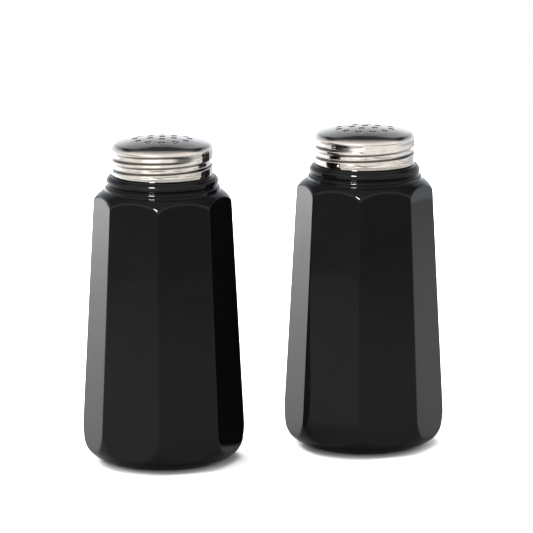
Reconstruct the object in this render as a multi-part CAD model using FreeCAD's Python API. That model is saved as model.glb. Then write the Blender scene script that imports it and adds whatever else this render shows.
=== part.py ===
import FreeCAD, Part
import math
import os

# A pair of salt and pepper shakers: two pressed-glass bottles with eight flat sides, each
# closed by a screw cap of thin polished steel with shake holes, and a sealing washer
# between the glass rim and the cap. Millimetres, +Z up. The origin lies on the table
# midway between the two shakers, and +X runs from the salt shaker to the pepper shaker.

# The pair
SPACING = 83.5             # between the two shakers' axes
TOTAL_HEIGHT = 128.5       # table to the top of the cap's dome

# Bottle, outside
SIDES = 8
CORNER_R = 32.73           # across the octagon's corners, if the sides ran down to the table
TAPER = 0.0539             # corner radius lost per millimetre of height
CORNER_ROUNDING = 1.0      # of the eight upright edges
FOOT_R = (18.0, 22.4)      # flat ring that the bottle stands on
FOOT_RECESS = 1.0          # hollow inside the foot ring
TOE_SLOPE = 23.5           # degrees above the table, just outside the foot ring
HEEL_LEAN = 6.0            # degrees off vertical, where the heel runs into the corners
HEEL_TOP = 13.2            # height where the heel meets the corners
HEEL_ROUNDING = 7.7
TURNED_MARGIN = 0.3        # the turned outline stands this far outside the upright corners
SHOULDER_SLOPE = 22.0      # degrees below horizontal, just outside the step ring
SHOULDER_ROUNDING = 7.0
STEP_RING = (22.5, 107.4, 109.1)        # radius, bottom, top
BEAD_RING = (21.85, 109.45, 113.25)     # radius, bottom, top
RING_GROOVE_R = 20.9       # between the step ring and the bead ring

# Bottle, inside
FLOOR_Z = 8.0
CAVITY_R = (24.8, 21.1)    # near the floor, and under the shoulder
CAVITY_TOP = 101.2
CAVITY_ROUNDING = 8.0
BORE_R = 14.1
BORE_BOTTOM = 107.2

# Neck and thread
NECK_R = 17.4
RIM_Z = 123.9
RIM_ROUNDING = 0.8
PITCH = 4.2                # right-hand thread, six turns to the inch
BEAD_TIP_R = 18.9
BEAD_HALF = (0.95, 0.3)    # half heights of the glass thread at its root and its tip
BEAD_TURNS = 1.5

# Cap, pressed from sheet
SHEET = 0.45
CAP_R = 19.8
CAP_BOTTOM = 113.55
DOME_R = 65.0              # sphere of the dome
DOME_EDGE = 2.4            # rounding between the dome and the skirt
GROOVE_DEPTH = 1.4         # the rolled thread, pressed in from outside
GROOVE_HALF = (0.37, 1.07) # half heights of the rolled groove at its bottom and its mouth
GROOVE_START_Z = 115.2
GROOVE_TURNS = 1.7
SHAKE_HOLE_R = 0.85
SHAKE_RINGS = ((0.0, 1), (5.3, 6), (10.6, 12))      # ring radius, number of holes

# Sealing washer
WASHER_R = (14.4, 18.1)
WASHER_THICK = 1.4

# Each shaker: place along X, and how its sides, its thread's start and its holes are turned
SHAKERS = {
    "salt": {"x": -SPACING / 2, "sides_deg": 2.8, "thread_deg": 33.7, "holes_deg": 12.3},
    "pepper": {"x": SPACING / 2, "sides_deg": 0.0, "thread_deg": -22.0, "holes_deg": -2.7},
}

EMBED = 0.5                # how far a swept thread reaches into the wall it grows from
UP = FreeCAD.Vector(0, 0, 1)
HERE = FreeCAD.Vector(0, 0, 0)


def corner_radius(z):
    """Radius across the octagon's corners at height z."""
    return CORNER_R - TAPER * z


def crossing(point_a, deg_a, point_b, deg_b):
    """Where two lines in the (r, z) plane cross, each given by a point and a direction."""
    ax, az = math.cos(math.radians(deg_a)), math.sin(math.radians(deg_a))
    bx, bz = math.cos(math.radians(deg_b)), math.sin(math.radians(deg_b))
    dx, dz = point_b[0] - point_a[0], point_b[1] - point_a[1]
    along = (dx * bz - dz * bx) / (ax * bz - az * bx)
    return point_a[0] + along * ax, point_a[1] + along * az


def rounded_outline(corners):
    """Closed wire in the upright half-plane through corners (r, z, rounding)."""
    legs = []
    for index, (r, z, rounding) in enumerate(corners):
        here = FreeCAD.Vector(r, 0, z)
        if not rounding:
            legs.append((here, None, here))
            continue
        before, after = corners[index - 1], corners[(index + 1) % len(corners)]
        back = (FreeCAD.Vector(before[0], 0, before[1]) - here).normalize()
        forth = (FreeCAD.Vector(after[0], 0, after[1]) - here).normalize()
        half = back.getAngle(forth) / 2
        inward = (back + forth).normalize()
        middle = here + inward * (rounding / math.sin(half) - rounding)
        setback = rounding / math.tan(half)
        legs.append((here + back * setback, middle, here + forth * setback))
    edges = []
    for index, (start, middle, end) in enumerate(legs):
        if middle is not None:
            edges.append(Part.Arc(start, middle, end).toShape())
        following = legs[(index + 1) % len(legs)][0]
        edges.append(Part.LineSegment(end, following).toShape())
    return Part.Wire(edges)


def turned(wire):
    """Solid of revolution of a closed wire about the Z axis."""
    return Part.Face(wire).revolve(HERE, UP, 360)


def helical(section, start_z, turns, start_deg):
    """Right-hand helical solid of a closed section given as (r, dz) points."""
    radius = section[0][0]
    path = Part.Wire(Part.makeHelix(PITCH, PITCH * turns, radius).Edges)
    points = [FreeCAD.Vector(r, 0, dz) for r, dz in section]
    profile = Part.makePolygon(points + points[:1])
    solid = path.makePipeShell([profile], True, True)
    solid.rotate(HERE, UP, start_deg)
    solid.translate(UP * start_z)
    return solid


def trapezium(root_r, tip_r, root_half, tip_half):
    """Section of a thread, as (r, dz) points from its root to its tip."""
    return [(root_r, -root_half), (tip_r, -tip_half), (tip_r, tip_half), (root_r, root_half)]


def eight_sides(sides_deg):
    """Tapered octagon with rounded upright edges, turned by sides_deg from two sides facing X."""
    rings = []
    for z in (-1.0, TOTAL_HEIGHT):
        radius = corner_radius(z)
        turns = [math.radians(sides_deg + (side + 0.5) * 360 / SIDES) for side in range(SIDES)]
        points = [FreeCAD.Vector(radius * math.cos(t), radius * math.sin(t), z) for t in turns]
        rings.append(Part.makePolygon(points + points[:1]))
    solid = Part.makeLoft(rings, True, True)
    upright = [edge for edge in solid.Edges if edge.BoundBox.ZLength > TOTAL_HEIGHT / 2]
    return solid.makeFillet(CORNER_ROUNDING, upright)


def bottle_section():
    """Glass section on one side of the axis, as corners (r, z, rounding)."""
    heel = crossing((FOOT_R[1], 0), TOE_SLOPE, (corner_radius(HEEL_TOP), HEEL_TOP), 90 - HEEL_LEAN)
    wall_deg = 90 + math.degrees(math.atan(TAPER))
    wall_foot = (CORNER_R + TURNED_MARGIN, 0)
    heel_end = crossing(heel, 90 - HEEL_LEAN, wall_foot, wall_deg)
    shoulder = crossing(wall_foot, wall_deg, STEP_RING[:2], 180 - SHOULDER_SLOPE)
    ring_r, ring_bottom, ring_top = BEAD_RING
    ring_step = ring_r - RING_GROOVE_R
    return [
        (0, FOOT_RECESS, 0),
        (FOOT_R[0] - FOOT_RECESS, FOOT_RECESS, 0.5),
        (FOOT_R[0], 0, 0.3),
        (FOOT_R[1], 0, 1.5),
        heel + (HEEL_ROUNDING,),
        heel_end + (0,),
        shoulder + (SHOULDER_ROUNDING,),
        (STEP_RING[0], STEP_RING[1], 0),
        (STEP_RING[0], STEP_RING[2], 0.5),
        (RING_GROOVE_R, (STEP_RING[2] + ring_bottom) / 2, 0),
        (ring_r, ring_bottom + ring_step, 0.9),
        (ring_r, ring_top - 1.4 * ring_step, 1.0),
        (RING_GROOVE_R, ring_top, 1.0),
        (NECK_R, ring_top, 0.4),
        (NECK_R, RIM_Z, RIM_ROUNDING),
        (BORE_R, RIM_Z, RIM_ROUNDING),
        (BORE_R, BORE_BOTTOM, 3.0),
        (CAVITY_R[1], CAVITY_TOP, 5.0),
        (CAVITY_R[0], FLOOR_Z, CAVITY_ROUNDING),
        (0, FLOOR_Z, 0),
    ]


def bottle(sides_deg, thread_deg):
    """Hollow glass bottle: eight cut sides, turned heel, shoulder and rings, threaded neck."""
    glass = turned(rounded_outline(bottle_section())).common(eight_sides(sides_deg))
    section = trapezium(NECK_R - EMBED, BEAD_TIP_R, *BEAD_HALF)
    # The glass thread runs midway between two turns of the cap's rolled thread
    thread = helical(section, GROOVE_START_Z, BEAD_TURNS, thread_deg - 180)
    return glass.fuse(thread).removeSplitter()


def cap_shell():
    """Thin pressed cap without its thread and holes: skirt, rounded edge and dome."""
    edge_r = CAP_R - DOME_EDGE
    dome_z = TOTAL_HEIGHT - DOME_R
    edge_z = dome_z + math.sqrt((DOME_R - DOME_EDGE) ** 2 - edge_r ** 2)
    lean = math.asin(edge_r / (DOME_R - DOME_EDGE))
    faces = []
    for inset in (0, SHEET):
        around, dome = DOME_EDGE - inset, DOME_R - inset
        skirt_foot = FreeCAD.Vector(CAP_R - inset, 0, CAP_BOTTOM)
        skirt_top = FreeCAD.Vector(CAP_R - inset, 0, edge_z)
        turn = (math.pi / 2 + lean) / 2
        on_edge = FreeCAD.Vector(edge_r + around * math.sin(turn), 0, edge_z + around * math.cos(turn))
        seam = FreeCAD.Vector(dome * math.sin(lean), 0, dome_z + dome * math.cos(lean))
        on_dome = FreeCAD.Vector(dome * math.sin(lean / 2), 0, dome_z + dome * math.cos(lean / 2))
        crown = FreeCAD.Vector(0, 0, dome_z + dome)
        axis_foot = FreeCAD.Vector(0, 0, CAP_BOTTOM)
        wire = Part.Wire([
            Part.LineSegment(axis_foot, skirt_foot).toShape(),
            Part.LineSegment(skirt_foot, skirt_top).toShape(),
            Part.Arc(skirt_top, on_edge, seam).toShape(),
            Part.Arc(seam, on_dome, crown).toShape(),
            Part.LineSegment(crown, axis_foot).toShape(),
        ])
        faces.append(turned(wire))
    outside, inside = faces
    return outside.cut(inside)


def shake_holes(holes_deg):
    """Drills for the shake holes: one in the middle and two rings around it."""
    drills = []
    for ring_r, count in SHAKE_RINGS:
        for index in range(count):
            turn = math.radians(holes_deg) + index * 2 * math.pi / count
            foot = FreeCAD.Vector(ring_r * math.cos(turn), ring_r * math.sin(turn), RIM_Z)
            drills.append(Part.makeCylinder(SHAKE_HOLE_R, TOTAL_HEIGHT, foot, UP))
    return drills


def cap(thread_deg, holes_deg):
    """Steel screw cap: domed shell with a thread rolled into its skirt, and shake holes."""
    flank = (GROOVE_HALF[1] - GROOVE_HALF[0]) / GROOVE_DEPTH
    wider = SHEET * math.hypot(1, flank)      # a flank of the sheet, measured along the axis
    groove_r = CAP_R - GROOVE_DEPTH
    rib_r = groove_r - SHEET
    rib_root = CAP_R - SHEET + EMBED / 2

    def rib_half(r):
        """Half height of the rib inside the cap at radius r."""
        return GROOVE_HALF[0] + flank * (r - groove_r) + wider

    mouth_r = CAP_R + EMBED
    mouth_half = GROOVE_HALF[1] + flank * EMBED
    rib = helical(trapezium(rib_root, rib_r, rib_half(rib_root), rib_half(rib_r)),
                  GROOVE_START_Z, GROOVE_TURNS, thread_deg)
    groove = helical(trapezium(mouth_r, groove_r, mouth_half, GROOVE_HALF[0]),
                     GROOVE_START_Z, GROOVE_TURNS, thread_deg)
    sheet = cap_shell().fuse(rib).cut(groove)
    return sheet.cut(shake_holes(holes_deg)).removeSplitter()


def cap_seal():
    """Flat ring between the glass rim and the underside of the cap."""
    inner, outer = WASHER_R
    chamfer = WASHER_THICK / 4
    top = RIM_Z + WASHER_THICK
    return turned(rounded_outline([
        (inner, RIM_Z, 0), (outer, RIM_Z, 0), (outer, top - chamfer, 0),
        (outer - chamfer, top, 0), (inner, top, 0),
    ]))


def main():
    """Write one STEP file for each piece of each shaker."""
    os.makedirs("parts", exist_ok=True)
    for name, place in SHAKERS.items():
        pieces = {
            "bottle": bottle(place["sides_deg"], place["thread_deg"]),
            "cap": cap(place["thread_deg"], place["holes_deg"]),
            "cap_seal": cap_seal(),
        }
        for piece, shape in pieces.items():
            shape.translate(FreeCAD.Vector(place["x"], 0, 0))
            solid = shape.Solids[0]
            print(name, piece, "solids", len(shape.Solids), "valid", solid.isValid(),
                  "volume", round(solid.Volume, 1))
            solid.exportStep(f"parts/{name}_{piece}.step")


main()
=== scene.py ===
"""Salt and pepper shakers: black pressed glass with polished steel screw caps."""
import logging
import math
from dataclasses import dataclass, field
from enum import Enum

import bpy
import numpy as np
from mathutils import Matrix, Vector
from mathutils.geometry import delaunay_2d_cdt


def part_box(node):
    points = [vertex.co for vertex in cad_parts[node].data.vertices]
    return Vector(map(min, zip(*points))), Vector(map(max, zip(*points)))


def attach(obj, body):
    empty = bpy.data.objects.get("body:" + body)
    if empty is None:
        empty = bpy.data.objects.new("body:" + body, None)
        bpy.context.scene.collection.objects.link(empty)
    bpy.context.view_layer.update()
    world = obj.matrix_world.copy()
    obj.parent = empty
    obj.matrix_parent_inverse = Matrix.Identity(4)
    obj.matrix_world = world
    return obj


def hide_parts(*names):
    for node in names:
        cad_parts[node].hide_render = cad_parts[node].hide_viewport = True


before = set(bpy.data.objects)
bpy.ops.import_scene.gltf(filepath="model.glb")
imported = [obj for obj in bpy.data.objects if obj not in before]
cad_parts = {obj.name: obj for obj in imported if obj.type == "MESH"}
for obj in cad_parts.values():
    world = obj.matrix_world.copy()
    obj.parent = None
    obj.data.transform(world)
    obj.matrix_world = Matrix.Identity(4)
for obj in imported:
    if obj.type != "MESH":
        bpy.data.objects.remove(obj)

MM = 0.001
log = logging.getLogger("shakers")

Point = tuple[float, float]
Span = tuple[float, float]
Colour = tuple[float, float, float]
Corner = tuple[float, float, float]
Rows = tuple[np.ndarray, np.ndarray]


class Slot(Enum):
    """Material slots of the record."""

    GLASS = "black_glass"
    STEEL = "polished_steel"
    SEAL = "seal_silicone"


class Shaker(Enum):
    """The two shakers of the pair, by the name their pieces start with."""

    SALT = "salt"
    PEPPER = "pepper"


# ---------------------------------------------------------------- shader writing


class Signal:
    """A shader socket that can be used in arithmetic."""

    def __init__(self, bench: "FinishBench", socket: bpy.types.NodeSocket) -> None:
        """Wrap one output socket of a bench's node."""
        self.bench = bench
        self.socket = socket

    def _maths(self, operation: str, first: object, second: object) -> "Signal":
        """Add one Math node on two values, each a Signal or a number."""
        return self.bench.fit("ShaderNodeMath", {"operation": operation}, {0: first, 1: second})["Value"]

    def __add__(self, other: object) -> "Signal":
        """self + other"""
        return self._maths("ADD", self, other)

    def __radd__(self, other: object) -> "Signal":
        """other + self"""
        return self._maths("ADD", other, self)

    def __sub__(self, other: object) -> "Signal":
        """self - other"""
        return self._maths("SUBTRACT", self, other)

    def __rsub__(self, other: object) -> "Signal":
        """other - self"""
        return self._maths("SUBTRACT", other, self)

    def __mul__(self, other: object) -> "Signal":
        """self * other"""
        return self._maths("MULTIPLY", self, other)

    def __rmul__(self, other: object) -> "Signal":
        """other * self"""
        return self._maths("MULTIPLY", other, self)

    def __pow__(self, other: object) -> "Signal":
        """self ** other"""
        return self._maths("POWER", self, other)

    def __rpow__(self, other: object) -> "Signal":
        """other ** self"""
        return self._maths("POWER", other, self)


class Fitting:
    """One placed shader node, whose outputs are taken by name."""

    def __init__(self, bench: "FinishBench", node: bpy.types.Node) -> None:
        """Keep the bench and its node."""
        self.bench = bench
        self.node = node

    def __getitem__(self, name: str) -> Signal:
        """The output called name."""
        return Signal(self.bench, self.node.outputs[name])


class FinishBench:
    """A node tree on which one finish is put together."""

    def __init__(self, tree: bpy.types.NodeTree) -> None:
        """Clear the tree and start with nothing on it."""
        self.tree = tree
        tree.nodes.clear()

    def fit(self, kind: str, settings: dict[str, object] | None = None,
            inputs: dict[object, object] | None = None) -> Fitting:
        """Place a node.

        Args:
            kind: the node's type.
            settings: properties set before the sockets; "stops" fills a colour ramp.
            inputs: values or Signals, by socket name or number.

        Returns:
            The placed node.
        """
        node = self.tree.nodes.new(kind)
        for name, value in (settings or {}).items():
            if name == "stops":
                self._fill_ramp(node, value)
            else:
                setattr(node, name, value)
        for name, value in (inputs or {}).items():
            if isinstance(value, Signal):
                self.tree.links.new(value.socket, node.inputs[name])
            else:
                node.inputs[name].default_value = value
        return Fitting(self, node)

    @staticmethod
    def _fill_ramp(node: bpy.types.Node, stops: list[tuple[float, Colour]]) -> None:
        """Give a colour ramp its stops.

        Args:
            node: the ramp's node.
            stops: the place, 0 to 1, and the colour of each.
        """
        ramp = node.color_ramp
        while len(ramp.elements) < len(stops):
            ramp.elements.new(0.5)
        for element, (place, colour) in zip(ramp.elements, stops):
            element.position = place
            element.color = (*colour, 1.0)

    def ramp(self, value: Signal, low: float, high: float) -> Signal:
        """A smooth step: 0 where value is at low, 1 where it is at high."""
        return self.fit("ShaderNodeMapRange", {"interpolation_type": "SMOOTHSTEP"},
                        {"Value": value, "From Min": low, "From Max": high})["Result"]

    def blend(self, share: Signal, first: object, second: object) -> Signal:
        """A colour that goes from first to second as share goes from 0 to 1.

        Args:
            share: how far the blend has gone.
            first: a Signal or a Colour.
            second: a Signal or a Colour.

        Returns:
            The blended colour.
        """
        ends = [end if isinstance(end, Signal) else (*end, 1.0) for end in (first, second)]
        mix = self.fit("ShaderNodeMix", {"data_type": "RGBA"}, {0: share, 6: ends[0], 7: ends[1]})
        return Signal(self, mix.node.outputs[2])

    def noise(self, where: Signal, scale: float, detail: float = 3.0, roughness: float = 0.5) -> Signal:
        """Fractal noise between 0 and 1."""
        return self.fit("ShaderNodeTexNoise", {},
                        {"Vector": where, "Scale": scale, "Detail": detail, "Roughness": roughness})["Fac"]

    def vector(self, x: Signal, y: Signal, z: Signal) -> Signal:
        """Three values as one vector."""
        return self.fit("ShaderNodeCombineXYZ", {}, {"X": x, "Y": y, "Z": z})["Vector"]

    def from_axis(self, axis_x: float) -> Signal:
        """The place on the piece, measured from the shaker's upright axis on the table."""
        place = self.fit("ShaderNodeTexCoord")["Object"]
        return self.fit("ShaderNodeVectorMath", {"operation": "SUBTRACT"},
                        {0: place, 1: (axis_x, 0.0, 0.0)})["Vector"]

    def relief(self, height: Signal, strength: float, depth: float, under: Signal | None = None) -> Signal:
        """A normal pushed about by a height map.

        Args:
            height: the height, 0 to 1.
            strength: how much of the effect is used.
            depth: the height in metres where the map is 1.
            under: another relief that this one lies on.

        Returns:
            The normal.
        """
        inputs = {"Strength": strength, "Distance": depth, "Height": height}
        if under is not None:
            inputs["Normal"] = under
        return self.fit("ShaderNodeBump", {}, inputs)["Normal"]

    def surface(self, inputs: dict[object, object]) -> None:
        """Finish the bench with one Principled surface."""
        shader = self.fit("ShaderNodeBsdfPrincipled", {}, inputs)
        self.fit("ShaderNodeOutputMaterial", {}, {"Surface": shader["BSDF"]})


def new_bench(name: str) -> tuple[bpy.types.Material, FinishBench]:
    """Start a material.

    Args:
        name: the material's name.

    Returns:
        The material and the bench to build it on.
    """
    material = bpy.data.materials.new(name)
    material.use_nodes = True
    return material, FinishBench(material.node_tree)


@dataclass(frozen=True)
class BlackGlass:
    """Opaque black pressed glass, fire-polished."""

    name: str
    axis_x: float
    body: Colour = (0.0014, 0.0014, 0.0016)
    streak: Colour = (0.0024, 0.0024, 0.0027)
    swirl_scale: float = 32.0
    specular: float = 0.18
    roughness: Span = (0.025, 0.07)
    handling_scale: float = 140.0
    handling: Span = (0.45, 0.75)
    wave_scale: float = 55.0
    wave_strength: float = 0.6
    wave_depth: float = 0.00011
    pit_scale: float = 1900.0
    pitting: Span = (0.70, 0.82)
    pit_strength: float = 0.05
    pit_depth: float = 0.00002

    def make(self) -> bpy.types.Material:
        """Build the material.

        Returns:
            The material.
        """
        material, bench = new_bench(self.name)
        place = bench.from_axis(self.axis_x)
        swirl = bench.noise(place, self.swirl_scale, detail=2.0)
        handled = bench.ramp(bench.noise(place, self.handling_scale, detail=5.0, roughness=0.6),
                             *self.handling)
        pits = bench.ramp(bench.noise(place, self.pit_scale, detail=1.0), *self.pitting)
        waves = bench.relief(bench.noise(place, self.wave_scale, detail=1.0), self.wave_strength,
                             self.wave_depth)
        normal = bench.relief(pits, self.pit_strength, self.pit_depth, waves)
        low, high = self.roughness
        bench.surface({
            "Base Color": bench.blend(swirl, self.body, self.streak),
            "Roughness": low + (high - low) * handled,
            "Specular IOR Level": self.specular,
            "Normal": normal,
        })
        return material


@dataclass(frozen=True)
class PolishedSteel:
    """Thin stainless sheet, polished on a lathe, so its faint marks run round the axis.

    The flanks of the rolled groove are painted dark: painted shade and painted reflection of the dark glass
    that the real groove shows there. They lie between groove_floor and groove_lip, in millimetres inside
    the skirt, and end at edge_fade, in millimetres above the rounded edge's foot.
    """

    name: str
    axis_x: float
    skirt_r: float
    edge_z: float
    metal: Colour = (0.64, 0.60, 0.56)
    tarnish: Colour = (0.55, 0.505, 0.455)
    painted_groove_shade: Colour = (0.13, 0.125, 0.12)
    # painted shade: a dark colour for the groove's flanks, standing in for their shade and dark reflections
    cloud_scale: float = 90.0
    clouding: Span = (0.35, 0.75)
    roughness: Span = (0.035, 0.10)
    handling_scale: float = 260.0
    handling: Span = (0.5, 0.8)
    handling_share: float = 0.6
    marks_share: float = 0.4
    marks_round: float = 60.0
    marks_per_metre: float = 9000.0
    marks_strength: float = 0.25
    marks_depth: float = 0.000004
    rolling_round: float = 70.0
    rolling_up: float = 420.0
    rolling_depth: float = 0.00009
    groove_floor: Span = (1.15, 0.8)
    groove_lip: Span = (0.5, 0.1)
    edge_fade: Span = (-0.3, 0.2)

    def _flank_shade_share(self, bench: FinishBench, radius: Signal, up: Signal) -> Signal:
        """How far a place lies on a flank of the groove, where the steel gets painted shade.

        Args:
            bench: the bench of the material.
            radius: distance from the axis.
            up: height.

        Returns:
            The share, 0 to 1.
        """
        floor = bench.ramp(radius, *(self.skirt_r - inset * MM for inset in self.groove_floor))
        lip = bench.ramp(radius, *(self.skirt_r - inset * MM for inset in self.groove_lip))
        edge = bench.ramp(up, *(self.edge_z + rise * MM for rise in self.edge_fade))
        return floor * (1.0 - lip) * (1.0 - edge)

    def make(self) -> bpy.types.Material:
        """Build the material.

        Returns:
            The material.
        """
        material, bench = new_bench(self.name)
        place = bench.from_axis(self.axis_x)
        parts = bench.fit("ShaderNodeSeparateXYZ", {}, {"Vector": place})
        across, along, up = parts["X"], parts["Y"], parts["Z"]
        radius = (across ** 2.0 + along ** 2.0) ** 0.5
        lathe = bench.vector(across * self.marks_round, along * self.marks_round,
                             (up - radius) * self.marks_per_metre)
        marks = bench.noise(lathe, 1.0, detail=2.0, roughness=0.6)
        rolled = bench.vector(across * self.rolling_round, along * self.rolling_round, up * self.rolling_up)
        rolling = bench.relief(bench.noise(rolled, 1.0, detail=2.0), 1.0, self.rolling_depth)
        clouds = bench.noise(place, self.cloud_scale, detail=4.0, roughness=0.6)
        handled = bench.ramp(bench.noise(place, self.handling_scale, detail=4.0, roughness=0.65),
                             *self.handling)
        polished = bench.blend(bench.ramp(clouds, *self.clouding), self.metal, self.tarnish)
        low, high = self.roughness
        bench.surface({
            # the groove's flanks take painted shade and painted dark reflection in the base colour
            "Base Color": bench.blend(self._flank_shade_share(bench, radius, up), polished, self.painted_groove_shade),
            "Metallic": 1.0,
            "Roughness": low + (high - low) * (handled * self.handling_share + marks * self.marks_share),
            "Normal": bench.relief(marks, self.marks_strength, self.marks_depth, rolling),
        })
        return material


@dataclass(frozen=True)
class SealSilicone:
    """Matt off-white food-grade silicone."""

    name: str
    axis_x: float
    clean: Colour = (0.72, 0.72, 0.69)
    dusted: Colour = (0.62, 0.61, 0.57)
    cloud_scale: float = 220.0
    roughness: float = 0.42
    grain_roughness: float = 0.2
    grain_scale: float = 4200.0
    grain_strength: float = 0.2
    grain_depth: float = 0.00002

    def make(self) -> bpy.types.Material:
        """Build the material.

        Returns:
            The material.
        """
        material, bench = new_bench(self.name)
        place = bench.from_axis(self.axis_x)
        cloud = bench.noise(place, self.cloud_scale, detail=4.0)
        grain = bench.noise(place, self.grain_scale, detail=2.0)
        bench.surface({
            "Base Color": bench.blend(cloud, self.clean, self.dusted),
            "Roughness": self.roughness + self.grain_roughness * grain,
            "Normal": bench.relief(grain, self.grain_strength, self.grain_depth),
        })
        return material


# ---------------------------------------------------------------- mesh writing


class Skin:
    """Vertices and faces of one piece, in metres, gathered ring by ring."""

    def __init__(self) -> None:
        """Start empty."""
        self.points: list[tuple[float, float, float]] = []
        self.faces: list[tuple[int, ...]] = []

    def ring(self, xs: np.ndarray, ys: np.ndarray, zs: np.ndarray) -> list[int]:
        """Add one ring of vertices, or any other run of them.

        Args:
            xs: their places along X.
            ys: their places along Y.
            zs: their heights.

        Returns:
            Their numbers.
        """
        first = len(self.points)
        self.points += list(zip(xs.tolist(), ys.tolist(), zs.tolist()))
        return list(range(first, len(self.points)))

    def turn(self, axis_x: float, theta: np.ndarray, radii: np.ndarray,
             heights: np.ndarray) -> list[list[int]]:
        """Add rings about an upright axis at axis_x, from rows of radii and heights in millimetres."""
        return [self.ring(axis_x + r * MM * np.cos(theta), r * MM * np.sin(theta), z * MM)
                for r, z in zip(radii, heights)]

    def bridge(self, low: list[int], high: list[int]) -> None:
        """Join two closed rings of the same length with quads.

        Args:
            low: one ring.
            high: the ring that lies above it, seen from the side the quads face.
        """
        count = len(low)
        for here in range(count):
            there = (here + 1) % count
            self.faces.append((low[here], low[there], high[there], high[here]))

    def wrap(self, rows: list[list[int]], inward: bool = False) -> None:
        """Join each ring to the next, facing out or inward."""
        for low, high in zip(rows, rows[1:]):
            self.bridge(*((high, low) if inward else (low, high)))

    def cover(self, ring: list[int]) -> None:
        """Close a ring with a fan to its middle.

        Args:
            ring: the ring, anticlockwise as seen from the side the fan faces.
        """
        middle = np.mean([self.points[index] for index in ring], axis=0)
        self.points.append(tuple(middle.tolist()))
        top = len(self.points) - 1
        for here, there in zip(ring, ring[1:] + ring[:1]):
            self.faces.append((here, there, top))

    def piece(self, name: str) -> bpy.types.Object:
        """Make the piece from what has been gathered, smooth shaded.

        Args:
            name: the piece's name.

        Returns:
            The object, linked to the scene.
        """
        mesh = bpy.data.meshes.new(name)
        mesh.from_pydata(self.points, [], self.faces)
        mesh.validate()
        mesh.polygons.foreach_set("use_smooth", np.ones(len(mesh.polygons), bool))
        mesh.update()
        made = bpy.data.objects.new(name, mesh)
        bpy.context.scene.collection.objects.link(made)
        return made


def crossing(start: Point, start_deg: float, other: Point, other_deg: float) -> Point:
    """Where two lines cross in the (r, z) plane.

    Args:
        start: a point of the first line.
        start_deg: its direction.
        other: a point of the second line.
        other_deg: its direction.

    Returns:
        The crossing.
    """
    ax, az = math.cos(math.radians(start_deg)), math.sin(math.radians(start_deg))
    bx, bz = math.cos(math.radians(other_deg)), math.sin(math.radians(other_deg))
    dx, dz = other[0] - start[0], other[1] - start[1]
    along = (dx * bz - dz * bx) / (ax * bz - az * bx)
    return start[0] + along * ax, start[1] + along * az


def rounded(corners: list[Corner], arc_steps: int) -> np.ndarray:
    """Points of an open outline (r, z) whose corners (r, z, rounding) are rounded off.

    Args:
        corners: corners in order; the first and last stay sharp.
        arc_steps: pieces that each rounded corner is divided into.

    Returns:
        An array of points, one row each.
    """
    points = [corners[0][:2]]
    for before, (r, z, rounding), after in zip(corners, corners[1:], corners[2:]):
        if not rounding:
            points.append((r, z))
            continue
        here = Vector((r, z))
        back = (Vector(before[:2]) - here).normalized()
        forth = (Vector(after[:2]) - here).normalized()
        half = back.angle(forth) / 2
        centre = here + (back + forth).normalized() * (rounding / math.sin(half))
        start = here + back * (rounding / math.tan(half)) - centre
        sweep = math.pi - 2 * half
        if start.x * forth.y - start.y * forth.x < 0:
            sweep = -sweep
        for step in range(arc_steps + 1):
            turn = sweep * step / arc_steps
            points.append((
                centre.x + start.x * math.cos(turn) - start.y * math.sin(turn),
                centre.y + start.x * math.sin(turn) + start.y * math.cos(turn)))
    points.append(corners[-1][:2])
    return np.array(points)


def resample(outline: np.ndarray, shares: np.ndarray) -> Rows:
    """Places on an outline.

    Args:
        outline: points (r, z), one row each.
        shares: how far along the outline's length, 0 to 1.

    Returns:
        Radii and heights.
    """
    steps = np.hypot(*np.diff(outline, axis=0).T)
    lengths = np.concatenate([[0.0], np.cumsum(steps)])
    wanted = np.asarray(shares) * lengths[-1]
    return np.interp(wanted, lengths, outline[:, 0]), np.interp(wanted, lengths, outline[:, 1])


def crowded(count: int) -> np.ndarray:
    """Shares from 0 to 1 that crowd together at both ends."""
    return (1 - np.cos(np.linspace(0, math.pi, count))) / 2


def soft_lesser(first: np.ndarray, second: np.ndarray, reach: float) -> np.ndarray:
    """The lesser of two radii, rounded off where they are within reach of each other."""
    close = np.clip(1 - np.abs(first - second) / reach, 0, 1)
    return np.minimum(first, second) - close ** 3 * reach / 6


# ---------------------------------------------------------------- the shaker's pieces


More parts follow.
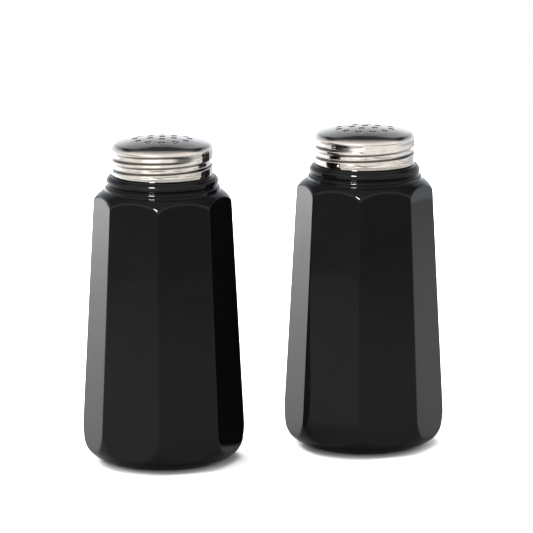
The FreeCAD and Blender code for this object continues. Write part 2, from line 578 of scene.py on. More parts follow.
@dataclass
class RolledThread:
    """The right-hand thread shared by a neck and its cap, in millimetres.

    Both ridges fade out over fade_deg. groove_inset is the share of it that lies inside the groove's ends.
    """

    start_deg: float
    pitch: float = 4.2
    start_z: float = 115.2
    turns: float = 1.7
    groove_depth: float = 1.25
    groove_half: float = 1.7
    groove_flat: float = 0.35
    bead_turns: float = 1.5
    bead_height: float = 1.45
    bead_half: float = 0.95
    fade_deg: float = 55.0
    groove_inset: float = 0.6

    def _ridge(self, theta: np.ndarray, z: np.ndarray, start_deg: float, turns: float,
               half: float, inset_deg: float, flat: float = 0.0) -> np.ndarray:
        """Height, 0 to 1, of a helical ridge that fades out beyond both its ends.

        Args:
            theta: angles about the axis, in radians.
            z: heights on the axis.
            start_deg: where the thread starts.
            turns: how far it runs.
            half: half the ridge's width, along the axis.
            inset_deg: how far inside the thread's ends the ridge starts to fade.
            flat: share of its width over which it is full.

        Returns:
            The height at each place.
        """
        total = np.zeros(np.broadcast(theta, z).shape)
        first = math.radians(start_deg + inset_deg)
        full_turns = turns - 2 * inset_deg / 360
        sweep = full_turns * 2 * math.pi
        above = z - self.pitch * inset_deg / 360
        for lap in range(-1, int(full_turns) + 3):
            along = (theta - first) % (2 * math.pi) + lap * 2 * math.pi
            held = np.clip(along, 0, sweep)
            centre = self.start_z + self.pitch * held / (2 * math.pi)
            past = np.abs(along - held)
            fade = np.clip(1 - past / math.radians(self.fade_deg), 0, 1)
            fade = fade * fade * (3 - 2 * fade)
            off = np.clip((np.abs(above - centre) / half - flat) / (1 - flat), 0, 1)
            total = np.maximum(total, fade * (1 + np.cos(math.pi * off)) / 2)
        return total

    def groove(self, theta: np.ndarray, z: np.ndarray) -> np.ndarray:
        """Depth of the groove rolled into the cap's skirt."""
        return self.groove_depth * self._ridge(theta, z, self.start_deg, self.turns, self.groove_half,
                                               self.fade_deg * self.groove_inset, self.groove_flat)

    def bead(self, theta: np.ndarray, z: np.ndarray) -> np.ndarray:
        """Height of the glass thread on the neck."""
        return self.bead_height * self._ridge(theta, z, self.start_deg - 180, self.bead_turns,
                                              self.bead_half, self.fade_deg)


@dataclass
class GlassBottle:
    """Eight-sided pressed-glass bottle, in millimetres.

    A ring is given by its radius, bottom and top. The search sizes are the steps in which the place is
    found where a turned outline meets the sides.
    """

    shaker: Shaker
    thread: RolledThread
    sides_deg: float
    sides: int = 8
    corner_r: float = 32.73
    taper: float = 0.0539
    corner_rounding: float = 1.0
    foot_r: Point = (18.0, 22.4)
    foot_recess: float = 1.0
    foot_roundings: Corner = (0.4, 0.3, 1.5)
    toe_slope: float = 23.5
    heel_lean: float = 6.0
    heel_top: float = 13.2
    heel_rounding: float = 7.7
    turned_margin: float = 0.3
    shoulder_slope: float = 22.0
    shoulder_rounding: float = 7.0
    step_ring: Corner = (22.5, 107.4, 109.1)
    step_foot: Corner = (0.25, 0.1, 0.15)
    step_roundings: Point = (0.15, 0.5)
    bead_ring: Corner = (21.85, 109.45, 113.25)
    bead_slope: float = 1.4
    bead_roundings: Corner = (0.9, 1.0, 1.0)
    ring_groove_r: float = 20.9
    ring_groove_rounding: float = 0.12
    floor_z: float = 8.0
    floor_cover_r: float = 4.0
    cavity_r: Point = (24.8, 21.1)
    cavity_top: float = 101.2
    cavity_roundings: Point = (8.0, 5.0)
    bore_r: float = 14.1
    bore_bottom: float = 107.2
    bore_rounding: float = 3.0
    neck_r: float = 17.4
    neck_rounding: float = 0.4
    neck_start: float = 0.8
    rim_z: float = 123.9
    rim_depth: float = 1.0
    rim_rounding: float = 0.8
    join_softness: float = 0.35
    side_columns: int = 19
    corner_columns: int = 9
    corner_margin: float = 1.1
    heel_rows: int = 40
    heel_crowding: float = 1.6
    heel_search: int = 900
    wall_rows: int = 34
    wall_clearance: float = 1.0
    shoulder_rows: int = 22
    shoulder_crowding: float = 1.7
    shoulder_search: int = 3000
    thread_step: float = 0.22

    def corner_radius(self, z: np.ndarray) -> np.ndarray:
        """Radius across the corners at height z."""
        return self.corner_r - self.taper * z

    def side_radius(self, theta: np.ndarray, z: np.ndarray) -> np.ndarray:
        """Radius of the eight-sided form, with rounded corners.

        Args:
            theta: angles about the axis.
            z: heights.

        Returns:
            The radius at each place.
        """
        half_side = math.pi / self.sides
        off = (theta - math.radians(self.sides_deg) + half_side) % (2 * half_side) - half_side
        apothem = self.corner_radius(z) * math.cos(half_side)
        inner = (apothem - self.corner_rounding) / math.cos(half_side)
        from_corner = half_side - np.abs(off)
        flat_end = np.arctan((apothem - self.corner_rounding) * math.tan(half_side) / apothem)
        reach = np.clip(self.corner_rounding ** 2 - (inner * np.sin(from_corner)) ** 2, 0, None)
        on_corner = inner * np.cos(from_corner) + np.sqrt(reach)
        return np.where(np.abs(off) < flat_end, apothem / np.cos(off), on_corner)

    def angles(self) -> np.ndarray:
        """Angles of the mesh's columns, crowded at the ends of each side.

        Returns:
            The angles, once round the axis.
        """
        half_side = math.pi / self.sides
        corner_half = math.atan(self.corner_rounding * math.tan(half_side) / self.corner_r)
        flat_end = half_side - corner_half * self.corner_margin
        flat = flat_end * np.sin(np.linspace(-math.pi / 2, math.pi / 2, self.side_columns))
        corner = np.linspace(flat_end, 2 * half_side - flat_end, self.corner_columns)[1:-1]
        one = np.concatenate([flat, corner])
        around = np.concatenate([one + side * 2 * half_side for side in range(self.sides)])
        return around + math.radians(self.sides_deg)

    def _outer_lines(self) -> tuple[Point, Point, Point]:
        """Find where the turned outline's straight lines cross.

        Returns:
            The heel, the heel's end and the shoulder.
        """
        heel = crossing((self.foot_r[1], 0), self.toe_slope,
                        (self.corner_radius(self.heel_top), self.heel_top), 90 - self.heel_lean)
        wall_deg = 90 + math.degrees(math.atan(self.taper))
        wall = (self.corner_r + self.turned_margin, 0)
        heel_end = crossing(heel, 90 - self.heel_lean, wall, wall_deg)
        shoulder = crossing(wall, wall_deg, self.step_ring[:2], 180 - self.shoulder_slope)
        return heel, heel_end, shoulder

    def heel_outline(self) -> np.ndarray:
        """Turned outline from the middle of the base to the end of the heel.

        Returns:
            Points (r, z), one row each.
        """
        heel, heel_end, _ = self._outer_lines()
        recess_end, inner, outer = self.foot_roundings
        return rounded([
            (self.foot_r[0] - 2 * self.foot_recess, self.foot_recess, 0),
            (self.foot_r[0] - self.foot_recess, self.foot_recess, recess_end),
            (self.foot_r[0], 0, inner), (self.foot_r[1], 0, outer),
            (*heel, self.heel_rounding), (*heel_end, 0)], arc_steps=10)

    def shoulder_outline(self) -> np.ndarray:
        """Turned outline from the wall over the shoulder to the foot of the step ring."""
        _, heel_end, shoulder = self._outer_lines()
        return rounded([(*heel_end, 0), (*shoulder, self.shoulder_rounding), (*self.step_ring[:2], 0)],
                       arc_steps=24)

    def rings_outline(self) -> np.ndarray:
        """Outline of the step ring and the bead ring, up to the neck.

        Returns:
            Points (r, z), one row each.
        """
        step_r, step_bottom, step_top = self.step_ring
        out, down, up = self.step_foot
        bead_r, bead_bottom, bead_top = self.bead_ring
        stands = bead_r - self.ring_groove_r
        foot_rounding, step_rounding = self.step_roundings
        low, high, end = self.bead_roundings
        return rounded([
            (step_r + out, step_bottom - down, 0),
            (step_r, step_bottom + up, foot_rounding),
            (step_r, step_top, step_rounding),
            (self.ring_groove_r, (step_top + bead_bottom) / 2, self.ring_groove_rounding),
            (bead_r, bead_bottom + stands, low), (bead_r, bead_top - self.bead_slope * stands, high),
            (self.ring_groove_r, bead_top, end), (self.neck_r, bead_top, self.neck_rounding),
            (self.neck_r, bead_top + self.neck_start, 0)], arc_steps=7)

    def inside_outline(self) -> np.ndarray:
        """Outline of the rim, the bore and the hollow, down to the floor.

        Returns:
            Points (r, z), one row each.
        """
        at_floor, at_top = self.cavity_roundings
        return rounded([
            (self.neck_r, self.rim_z - self.rim_depth, 0), (self.neck_r, self.rim_z, self.rim_rounding),
            (self.bore_r, self.rim_z, self.rim_rounding),
            (self.bore_r, self.bore_bottom, self.bore_rounding),
            (self.cavity_r[1], self.cavity_top, at_top), (self.cavity_r[0], self.floor_z, at_floor),
            (self.floor_cover_r, self.floor_z, 0)], arc_steps=8)

    def _outside_sides(self, outline: np.ndarray, shares: np.ndarray, theta: np.ndarray) -> np.ndarray:
        """Whether a turned outline, at shares of its length, lies outside the eight sides at theta."""
        turned_r, turned_z = resample(outline, shares)
        return turned_r[:, None] > self.side_radius(theta[None, :], turned_z[:, None])

    def _turned_rows(self, outline: np.ndarray, shares: np.ndarray, theta: np.ndarray) -> Rows:
        """Radii and heights at shares of a turned outline, held inside the eight sides at theta."""
        rows_r, rows_z = resample(outline, shares)
        return soft_lesser(rows_r, self.side_radius(theta[None, :], rows_z), self.join_softness), rows_z

    def _heel_rows(self, theta: np.ndarray) -> Rows:
        """Rows from the base up to where the sides begin.

        Args:
            theta: angles of the columns.

        Returns:
            Radii and heights.
        """
        outline = self.heel_outline()
        fine = np.linspace(0, 1, self.heel_search)
        meets = np.argmax(self._outside_sides(outline, fine, theta), axis=0)
        shares = 1 - (1 - np.linspace(0, 1, self.heel_rows)) ** self.heel_crowding
        return self._turned_rows(outline, shares[:, None] * fine[meets][None, :], theta)

    def _shoulder_rows(self, theta: np.ndarray) -> Rows:
        """Rows from where the sides end up to the step ring.

        Args:
            theta: angles of the columns.

        Returns:
            Radii and heights.
        """
        outline = self.shoulder_outline()
        fine = np.linspace(0, 1, self.shoulder_search)
        meets = len(fine) - 1 - np.argmax(self._outside_sides(outline, fine, theta)[::-1], axis=0)
        shares = np.linspace(0, 1, self.shoulder_rows) ** self.shoulder_crowding
        start = fine[meets][None, :]
        return self._turned_rows(outline, start + shares[:, None] * (1 - start), theta)

    def _wall_rows(self, theta: np.ndarray, low: np.ndarray, high: np.ndarray) -> Rows:
        """Rows on the eight sides.

        Args:
            theta: angles of the columns.
            low: height where each column's side begins.
            high: height where it ends.

        Returns:
            Radii and heights.
        """
        rows_z = low[None, :] + crowded(self.wall_rows)[1:-1, None] * (high - low)[None, :]
        radii = self.side_radius(theta[None, :], rows_z)
        far_off = 3 * self.corner_r
        for outline in (self.heel_outline(), self.shoulder_outline()):
            edge = outline[outline[:, 0] > self.step_ring[0] + self.wall_clearance]
            turned = np.interp(rows_z, edge[:, 1], edge[:, 0], left=far_off, right=far_off)
            radii = soft_lesser(radii, turned, self.join_softness)
        return radii, rows_z

    def build(self, axis_x: float) -> bpy.types.Object:
        """Make the bottle's mesh.

        Args:
            axis_x: where its upright axis stands, in metres.

        Returns:
            The piece.
        """
        theta = self.angles()
        heel_r, heel_z = self._heel_rows(theta)
        shoulder_r, shoulder_z = self._shoulder_rows(theta)
        wall_r, wall_z = self._wall_rows(theta, heel_z[-1], shoulder_z[0])
        flat = np.ones_like(theta)[None, :]
        rings = self.rings_outline()
        neck_z = np.arange(rings[-1, 1] + self.thread_step, self.rim_z - self.rim_depth,
                           self.thread_step)[:, None]
        inside = self.inside_outline()
        radii = np.concatenate([
            heel_r, wall_r, shoulder_r, rings[:, :1] * flat,
            self.neck_r + self.thread.bead(theta[None, :], neck_z), inside[:, :1] * flat])
        heights = np.concatenate([
            heel_z, wall_z, shoulder_z, rings[:, 1:] * flat, neck_z * flat, inside[:, 1:] * flat])
        skin = Skin()
        rows = skin.turn(axis_x, theta, radii, heights)
        skin.wrap(rows)
        skin.cover(rows[-1])
        skin.cover(rows[0][::-1])
        return skin.piece(f"{self.shaker.value}_glass_bottle")


@dataclass
class ScrewCap:
    """Thin steel screw cap with a rolled thread, a low dome and shake holes, in millimetres.

    hole_rings gives (radius, count), lip_rings how far outside each hole's rim the net has further rings,
    and hem_steps (share of the way through the sheet, drop) where its lower edge is rounded.
    """

    shaker: Shaker
    thread: RolledThread
    holes_deg: float
    radius: float
    bottom: float
    top: float
    sheet: float = 0.45
    dome_r: float = 65.0
    dome_edge: float = 2.4
    hole_r: float = 0.85
    hole_lip: float = 0.9
    lip_drop: float = 0.32
    hole_rings: tuple[tuple[float, int], ...] = ((0.0, 1), (5.3, 6), (10.6, 12))
    hem_curl: float = 0.16
    hem_band: float = 1.3
    hem_gap: float = 0.12
    hem_steps: tuple[Point, ...] = ((0.15, 0.085), (0.4, 0.115), (0.6, 0.115), (0.85, 0.085))
    columns: int = 256
    skirt_rows: int = 74
    edge_rows: int = 15
    slope_step: float = 0.02
    rim_points: int = 28
    lip_rings: tuple[float, ...] = (0.0, 0.1, 0.22, 0.36, 0.53, 0.72, 0.92)
    lip_clearance: float = 1.15
    net_step: float = 0.6
    net_fewest: int = 8
    seam_gap: float = 0.3
    hole_share: float = 0.985
    merge_within: float = 1e-6

    @property
    def dome_centre(self) -> float:
        """Height of the centre of the dome's sphere."""
        return self.top - self.dome_r

    @property
    def edge_r(self) -> float:
        """Radius of the circle on which the rounded edge is centred."""
        return self.radius - self.dome_edge

    @property
    def edge_z(self) -> float:
        """Height of that circle."""
        return self.dome_centre + math.sqrt((self.dome_r - self.dome_edge) ** 2 - self.edge_r ** 2)

    @property
    def seam_lean(self) -> float:
        """Angle off the axis, at the dome's centre, where dome and rounded edge meet."""
        return math.asin(self.edge_r / (self.dome_r - self.dome_edge))

    def holes(self) -> list[Point]:
        """Lay out the shake holes.

        Returns:
            Their centres, from the axis.
        """
        centres = []
        for ring_r, count in self.hole_rings:
            for index in range(count):
                turn = math.radians(self.holes_deg) + index * 2 * math.pi / count
                centres.append((ring_r * math.cos(turn), ring_r * math.sin(turn)))
        return centres

    def _curl(self, z: np.ndarray) -> np.ndarray:
        """How far the skirt turns in just above its hem, at heights z."""
        return self.hem_curl * np.clip(1 - (z - self.bottom) / self.hem_band, 0, 1) ** 2

    def _skirt_rows(self, theta: np.ndarray, inset: float) -> Rows:
        """Rows of the skirt and the rounded edge.

        Args:
            theta: angles of the columns.
            inset: 0 for the outside of the sheet, its thickness for the inside.

        Returns:
            Radii and heights, from the hem up to the dome.
        """
        z = np.linspace(self.bottom + self.hem_gap, self.edge_z, self.skirt_rows)[:, None]
        depth = self.thread.groove(theta[None, :], z) + self._curl(z)
        slope = (self.thread.groove(theta[None, :], z + self.slope_step)
                 - self.thread.groove(theta[None, :], z - self.slope_step)) / (2 * self.slope_step)
        skirt = self.radius - depth - inset * np.sqrt(1 + slope ** 2)
        turns = np.linspace(0, math.pi / 2 - self.seam_lean, self.edge_rows)[1:, None]
        around = self.dome_edge - inset
        edge = self.edge_r + around * np.cos(turns) * np.ones_like(theta)[None, :]
        edge_z = self.edge_z + around * np.sin(turns)
        radii = np.concatenate([skirt, edge])
        heights = np.concatenate([z, edge_z]) * np.ones_like(theta)[None, :]
        return radii, heights

    def _dome_height(self, x: np.ndarray, y: np.ndarray, inset: float) -> np.ndarray:
        """Height of the dome, with the lips of its holes turned in.

        Args:
            x: places from the axis, along X.
            y: places from the axis, along Y.
            inset: 0 for the outside of the sheet, its thickness for the inside.

        Returns:
            The height at each place.
        """
        height = self.dome_centre + np.sqrt((self.dome_r - inset) ** 2 - x ** 2 - y ** 2)
        for hole_x, hole_y in self.holes():
            away = np.hypot(x - hole_x, y - hole_y) - self.hole_r
            height = height - self.lip_drop * np.clip(1 - away / self.hole_lip, 0, 1) ** 2
        return height

    @staticmethod
    def _clear(x: float, y: float, holes: list[Point], reach: float) -> bool:
        """Whether a place is further than reach from the middle of every hole."""
        return all(math.hypot(x - hole_x, y - hole_y) > reach for hole_x, hole_y in holes)

    def _field_points(self, holes: list[Point]) -> list[Point]:
        """Evenly spread points of the dome, clear of its holes and its edge.

        Args:
            holes: centres of the holes.

        Returns:
            The points, from the axis.
        """
        points = []
        inner_seam_r = (self.dome_r - self.sheet) * math.sin(self.seam_lean)
        for ring_r in np.arange(self.net_step, inner_seam_r - self.seam_gap, self.net_step):
            count = max(self.net_fewest, int(round(2 * math.pi * ring_r / self.net_step)))
            for turn in np.arange(count) * 2 * math.pi / count:
                x, y = ring_r * math.cos(turn), ring_r * math.sin(turn)
                if self._clear(x, y, holes, self.hole_r + self.lip_clearance):
                    points.append((x, y))
        return points

    def _dome_net(self, theta: np.ndarray) -> tuple[np.ndarray, list[tuple[int, ...]], list[list[int]]]:
        """Flat net of the dome: triangles between its edge and the rims of its holes.

        Args:
            theta: angles of the edge's points.

        Returns:
            The net's points, those of the edge first, its triangles and the rims of the holes.
        """
        seam_r = self.dome_r * math.sin(self.seam_lean)
        points = [(seam_r * math.cos(t), seam_r * math.sin(t)) for t in theta]
        edges = [(i, (i + 1) % self.columns) for i in range(self.columns)]
        holes = self.holes()
        rims = []
        for hole_x, hole_y in holes:
            rim = list(range(len(points), len(points) + self.rim_points))
            rims.append(rim)
            edges += list(zip(rim, rim[1:] + rim[:1]))
            for step, grow in enumerate(self.lip_rings):
                turns = (np.arange(self.rim_points) + step % 2 / 2) * 2 * math.pi / self.rim_points
                reach = self.hole_r + grow
                points += [(hole_x + reach * math.cos(t), hole_y + reach * math.sin(t)) for t in turns]
        points += self._field_points(holes)
        net = delaunay_2d_cdt([Vector(p) for p in points], edges, [], 0, self.merge_within)
        where = np.array([tuple(p) for p in net[0]])
        triangles = [tuple(face) for face in net[2]
                     if self._clear(*where[list(face)].mean(axis=0), holes, self.hole_r * self.hole_share)]
        return where, triangles, rims

    def build(self, axis_x: float) -> bpy.types.Object:
        """Make the cap's mesh.

        Args:
            axis_x: where its upright axis stands, in metres.

        Returns:
            The piece.
        """
        theta = np.arange(self.columns) * 2 * math.pi / self.columns
        where, triangles, rims = self._dome_net(theta)
        skin = Skin()
        hems, nets = [], []
        for inset in (0.0, self.sheet):
            rows = skin.turn(axis_x, theta, *self._skirt_rows(theta, inset))
            x, y = (where * ((self.dome_r - inset) / self.dome_r)).T
            z = self._dome_height(x, y, inset)
            inner = slice(self.columns, None)
            number = rows[-1] + skin.ring(axis_x + x[inner] * MM, y[inner] * MM, z[inner] * MM)
            skin.wrap(rows, inward=inset > 0)
            order = -1 if inset else 1
            skin.faces += [tuple(number[i] for i in face[::order]) for face in triangles]
            hems.append(rows[0])
            nets.append(number)
        self._close_hem(skin, *hems)
        for rim in rims:
            skin.bridge([nets[0][i] for i in rim], [nets[1][i] for i in rim])
        return skin.piece(f"{self.shaker.value}_steel_cap")

    def _close_hem(self, skin: Skin, outside: list[int], inside: list[int]) -> None:
        """Round off the sheet's lower edge.

        Args:
            skin: the cap's skin.
            outside: lowest ring of the outside.
            inside: lowest ring of the inside.
        """
        outer = np.array([skin.points[index] for index in outside])
        inner = np.array([skin.points[index] for index in inside])
        before = outside
        for share, drop in self.hem_steps:
            xs, ys, zs = (outer + (inner - outer) * share).T
            ring = skin.ring(xs, ys, zs - drop * MM)
            skin.bridge(ring, before)
            before = ring
        skin.bridge(inside, before)


@dataclass
class SealRing:
    """Flat silicone ring between the glass rim and the cap, in millimetres."""

    shaker: Shaker
    outer_r: float
    bottom: float
    top: float
    inner_r: float = 14.4
    rounding: float = 0.2
    columns: int = 128

    def build(self, axis_x: float) -> bpy.types.Object:
        """Make the ring's mesh.

        Args:
            axis_x: where its upright axis stands, in metres.

        Returns:
            The piece.
        """
        theta = np.arange(self.columns) * 2 * math.pi / self.columns
        flat = np.ones_like(theta)[None, :]
        middle = (self.inner_r + self.outer_r) / 2
        soft = self.rounding
        outline = rounded([
            (middle, self.bottom, 0), (self.outer_r, self.bottom, soft), (self.outer_r, self.top, 2 * soft),
            (self.inner_r, self.top, soft), (self.inner_r, self.bottom, soft), (middle, self.bottom, 0)],
            arc_steps=5)[:-1]
        skin = Skin()
        rows = skin.turn(axis_x, theta, outline[:, :1] * flat, outline[:, 1:] * flat)
        skin.wrap(rows + rows[:1])
        return skin.piece(f"{self.shaker.value}_seal_ring")


@dataclass
class TableShaker:
    """One shaker: its bottle, its seal and its cap, each on its own body."""

    shaker: Shaker
    sides_deg: float
    thread_deg: float
    holes_deg: float
    thread: RolledThread = field(init=False)

    def __post_init__(self) -> None:
        """Set the thread that bottle and cap share."""
        self.thread = RolledThread(self.thread_deg)

    def build(self) -> list[bpy.types.Object]:
        """Make, dress and place the shaker's pieces.

        Returns:
            The bottle, the cap and the seal.
        """
        name = self.shaker.value
        low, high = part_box(f"{name}_bottle")
        axis_x = (low.x + high.x) / 2
        bottle = GlassBottle(self.shaker, self.thread, self.sides_deg).build(axis_x)
        cap_low, cap_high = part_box(f"{name}_cap")
        cap_shape = ScrewCap(self.shaker, self.thread, self.holes_deg, (cap_high.x - cap_low.x) / 2 / MM,
                             cap_low.z / MM, cap_high.z / MM)
        cap = cap_shape.build(axis_x)
        seal_low, seal_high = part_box(f"{name}_cap_seal")
        seal = SealRing(self.shaker, (seal_high.x - seal_low.x) / 2 / MM,
                        seal_low.z / MM, seal_high.z / MM).build(axis_x)
        glass = BlackGlass(f"{name}_black_glass", axis_x)
        steel = PolishedSteel(f"{name}_polished_steel", axis_x, cap_shape.radius * MM, cap_shape.edge_z * MM)
        silicone = SealSilicone(f"{name}_seal_silicone", axis_x)
        dressings = (
            (bottle, f"{name}_bottle", f"{name}_bottle", Slot.GLASS, glass),
            (cap, f"{name}_cap", f"{name}_cap", Slot.STEEL, steel),
            (seal, f"{name}_seal", f"{name}_cap_seal", Slot.SEAL, silicone),
        )
        for piece, body, node, slot, finish in dressings:
            piece.data.materials.append(finish.make())
            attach(piece, body)
            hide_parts(node)
            log.info("%s: %d faces on body %s", piece.name, len(piece.data.polygons), body)
        return [bottle, cap, seal]


# ---------------------------------------------------------------- table, light and camera


@dataclass
class Viewpoint:
    """Where the pair is seen from, in degrees and metres."""

    turn_deg: float = 17.7
    rise_deg: float = 11.55
    distance: float = 1.55
    aim_height: float = 0.07416
    aim_aside: float = 0.000844
    lens: float = 264.8
    sensor: float = 36.0
    clip_end: float = 20.0

    def point(self, aside: float, away: float, up: float) -> Vector:
        """Find a place by where it lies from the middle of the pair, as seen from the viewpoint.

        Args:
            aside: how far to the right.
            away: how far beyond.
            up: how far above the table.

        Returns:
            The place.
        """
        turn = math.radians(self.turn_deg)
        right = Vector((math.cos(turn), -math.sin(turn), 0.0))
        beyond = Vector((math.sin(turn), math.cos(turn), 0.0))
        return right * aside + beyond * away + Vector((0.0, 0.0, up))

    def place_camera(self) -> None:
        """Make the scene's camera."""
        rise = math.radians(self.rise_deg)
        aim = self.point(self.aim_aside, 0.0, self.aim_height)
        spot = aim + self.point(0.0, -self.distance * math.cos(rise), self.distance * math.sin(rise))
        lens = bpy.data.cameras.new("camera")
        lens.lens = self.lens
        lens.sensor_width = self.sensor
        lens.clip_end = self.clip_end
        camera = bpy.data.objects.new("camera", lens)
        camera.location = spot
        camera.rotation_euler = (aim - spot).to_track_quat("-Z", "Y").to_euler()
        bpy.context.scene.collection.objects.link(camera)
        bpy.context.scene.camera = camera


@dataclass
class Panel:
    """One rectangular soft light, placed from the middle of the pair.

    mirrored says that surfaces show it, and glass_only that it falls on the bottles alone.
    """

    name: str
    spot: tuple[float, float, float]
    aim: tuple[float, float, float]
    width: float
    height: float
    power: float
    mirrored: bool = False
    glass_only: bool = False

    def build(self, view: Viewpoint, glass: bpy.types.Collection) -> None:
        """Hang the light.

        Args:
            view: the viewpoint whose directions place it.
            glass: the bottles, for a light that falls on them alone.
        """
        lamp = bpy.data.lights.new(self.name, "AREA")
        lamp.shape = "RECTANGLE"
        lamp.size = self.width
        lamp.size_y = self.height
        lamp.energy = self.power
        stand = bpy.data.objects.new(self.name, lamp)
        stand.location = view.point(*self.spot)
        towards = view.point(*self.aim) - stand.location
        stand.rotation_euler = towards.to_track_quat("-Z", "Y").to_euler()
        stand.visible_glossy = self.mirrored
        if self.glass_only:
            stand.light_linking.receiver_collection = glass
        bpy.context.scene.collection.objects.link(stand)


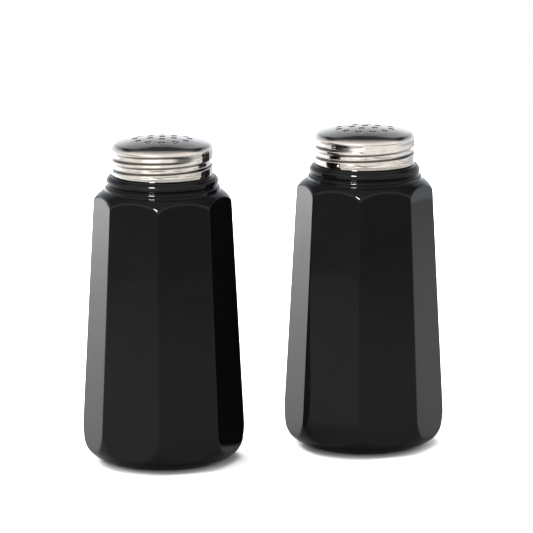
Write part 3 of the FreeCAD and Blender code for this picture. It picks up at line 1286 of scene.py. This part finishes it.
@dataclass
class Studio:
    """Pale table, white surroundings and soft lights, in metres.

    behind and before give the brightness of the surroundings on the far and the near side of the pair,
    as (degrees above the horizon, brightness). table_edge is (inset, drop) at the table's rounded edge.
    """

    view: Viewpoint
    table_r: float = 0.70
    table_middle: Point = (0.0, 0.12)
    table_edge: tuple[Point, ...] = ((0.0, 0.012), (0.0, 0.004), (0.004, 0.0))
    table_rings: Point = (0.4, 0.15)
    table_columns: int = 180
    table_colour: Colour = (0.86, 0.86, 0.86)
    table_tone: float = 0.98
    tone_scale: float = 14.0
    table_roughness: float = 0.75
    tone_roughness: float = 0.1
    table_specular: float = 0.1
    mirrored_share: float = 0.31
    back_tint: Colour = (0.93, 0.99, 1.06)
    front_tint: Colour = (1.0, 0.995, 0.98)
    side_blend: Span = (-0.25, 0.25)
    glow_turn_deg: float = 26.0
    glow_reach: Span = (0.86, 0.985)
    glow_gain: float = 0.6
    behind: tuple[Point, ...] = (
        (-5, 1.15), (10, 1.1), (18, 0.72), (27, 0.44), (34, 0.26),
        (36, 0.05), (44, 0.05), (60, 0.16), (90, 0.42))
    before: tuple[Point, ...] = (
        (-14, 1.5), (-9, 1.3), (-6, 0.32), (-4, 0.32), (2, 1.3), (20, 1.4), (50, 0.9), (90, 0.42))
    panels: tuple[Panel, ...] = (
        Panel("back_left_panel", (-0.60, 0.72, 0.50), (-0.40, 0.52, 0.0), 0.5, 0.5, 33.0),
        Panel("top_panel", (0.0, 0.25, 1.5), (0.0, 0.0, 0.0), 1.6, 1.6, 46.0),
        Panel("right_panel", (1.1, 0.35, 0.8), (0.1, 0.0, 0.0), 0.8, 0.8, 10.0),
        Panel("left_panel", (-1.1, -0.25, 0.9), (-0.1, 0.0, 0.0), 0.7, 0.7, 10.0),
        Panel("front_strip", (-0.47, -1.02, 0.92), (0.0, 0.0, 0.1), 0.24, 0.34, 60.0, True, True))

    def build(self, bottles: list[bpy.types.Object]) -> None:
        """Make the table, the surroundings and the lights.

        Args:
            bottles: the glass pieces, for the light that falls on them alone.
        """
        glass = bpy.data.collections.new("glass_pieces")
        for bottle in bottles:
            glass.objects.link(bottle)
        self._table()
        self._surroundings()
        for panel in self.panels:
            panel.build(self.view, glass)

    def _table(self) -> None:
        """Make the round pale table top under the pair."""
        theta = np.arange(self.table_columns) * math.tau / self.table_columns
        skin = Skin()
        middle = self.view.point(*self.table_middle, 0.0)
        steps = [(self.table_r - inset, drop) for inset, drop in self.table_edge]
        steps += [(ring_r, 0.0) for ring_r in self.table_rings]
        rows = [skin.ring(middle.x + radius * np.cos(theta), middle.y + radius * np.sin(theta),
                          np.full_like(theta, -drop)) for radius, drop in steps]
        skin.wrap(rows)
        skin.cover(rows[-1])
        table = skin.piece("table_top")
        table.data.materials.append(self._table_finish())

    def _table_finish(self) -> bpy.types.Material:
        """Matt pale paint, darker where other surfaces mirror it.

        Returns:
            The material.
        """
        material, bench = new_bench("pale_table")
        tone = bench.noise(bench.fit("ShaderNodeTexCoord")["Object"], self.tone_scale)
        faces = []
        for share in (self.mirrored_share, 1.0):
            light = [channel * share for channel in self.table_colour]
            faces.append(bench.fit("ShaderNodeBsdfPrincipled", {}, {
                "Base Color": bench.blend(tone, light, [channel * self.table_tone for channel in light]),
                "Roughness": self.table_roughness + self.tone_roughness * tone,
                "Specular IOR Level": self.table_specular,
            })["BSDF"])
        seen = bench.fit("ShaderNodeLightPath")["Is Camera Ray"]
        both = bench.fit("ShaderNodeMixShader", {}, {0: seen, 1: faces[0], 2: faces[1]})
        bench.fit("ShaderNodeOutputMaterial", {}, {"Surface": both["Shader"]})
        return material

    @staticmethod
    def _levels(bench: FinishBench, up: Signal, levels: tuple[Point, ...]) -> Signal:
        """Brightness by height above the horizon.

        Args:
            bench: the bench of the surroundings.
            up: the upward part of the direction looked in, -1 to 1.
            levels: pairs of degrees and brightness, which may be up to 2.

        Returns:
            The brightness.
        """
        stops = [((math.sin(math.radians(degrees)) + 1) / 2, (level / 2,) * 3) for degrees, level in levels]
        ramp = bench.fit("ShaderNodeValToRGB", {"stops": stops}, {"Fac": up * 0.5 + 0.5})
        return bench.fit("ShaderNodeRGBToBW", {}, {"Color": ramp["Color"]})["Val"] * 2.0

    def _surroundings(self) -> None:
        """Make the room that the pieces mirror; the camera itself sees plain white."""
        world = bpy.data.worlds.new("studio")
        bpy.context.scene.world = world
        world.use_nodes = True
        bench = FinishBench(world.node_tree)
        heading = bench.fit("ShaderNodeSeparateXYZ", {}, {
            "Vector": bench.fit("ShaderNodeTexCoord")["Generated"]})
        beyond = self.view.point(0.0, 1.0, 0.0)
        away = heading["X"] * beyond.x + heading["Y"] * beyond.y
        behind = bench.ramp(away, *self.side_blend)
        back_level = self._levels(bench, heading["Z"], self.behind) * behind
        glow_turn = math.radians(self.glow_turn_deg)
        middle = self.view.point(-math.sin(glow_turn), -math.cos(glow_turn), 0.0)
        towards = heading["X"] * middle.x + heading["Y"] * middle.y
        glow = 1.0 + self.glow_gain * bench.ramp(towards, *self.glow_reach)
        front_level = self._levels(bench, heading["Z"], self.before) * (1.0 - behind) * glow
        channels = {name: back_level * back + front_level * front for name, back, front in zip(
            ("Red", "Green", "Blue"), self.back_tint, self.front_tint)}
        mirrored = bench.fit("ShaderNodeCombineColor", {}, channels)["Color"]
        seen = bench.fit("ShaderNodeLightPath")["Is Camera Ray"]
        sky = bench.fit("ShaderNodeBackground", {}, {
            "Color": bench.blend(seen, mirrored, (1.0, 1.0, 1.0)), "Strength": 1.0})
        bench.fit("ShaderNodeOutputWorld", {}, {"Surface": sky["Background"]})
        bpy.context.scene.view_settings.view_transform = "Standard"


def main() -> None:
    """Build both shakers, then the studio and the camera."""
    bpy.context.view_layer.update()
    bottles = []
    for shaker in (TableShaker(Shaker.SALT, sides_deg=2.8, thread_deg=33.7, holes_deg=12.3),
                   TableShaker(Shaker.PEPPER, sides_deg=0.0, thread_deg=-22.0, holes_deg=-2.7)):
        pieces = shaker.build()
        bottles.append(pieces[0])
        log.info("%s shaker: %d pieces", shaker.shaker.value, len(pieces))
    view = Viewpoint()
    Studio(view).build(bottles)
    view.place_camera()


if __name__ == "__main__":
    logging.basicConfig(level=logging.INFO, format="%(name)s: %(message)s")
    main()
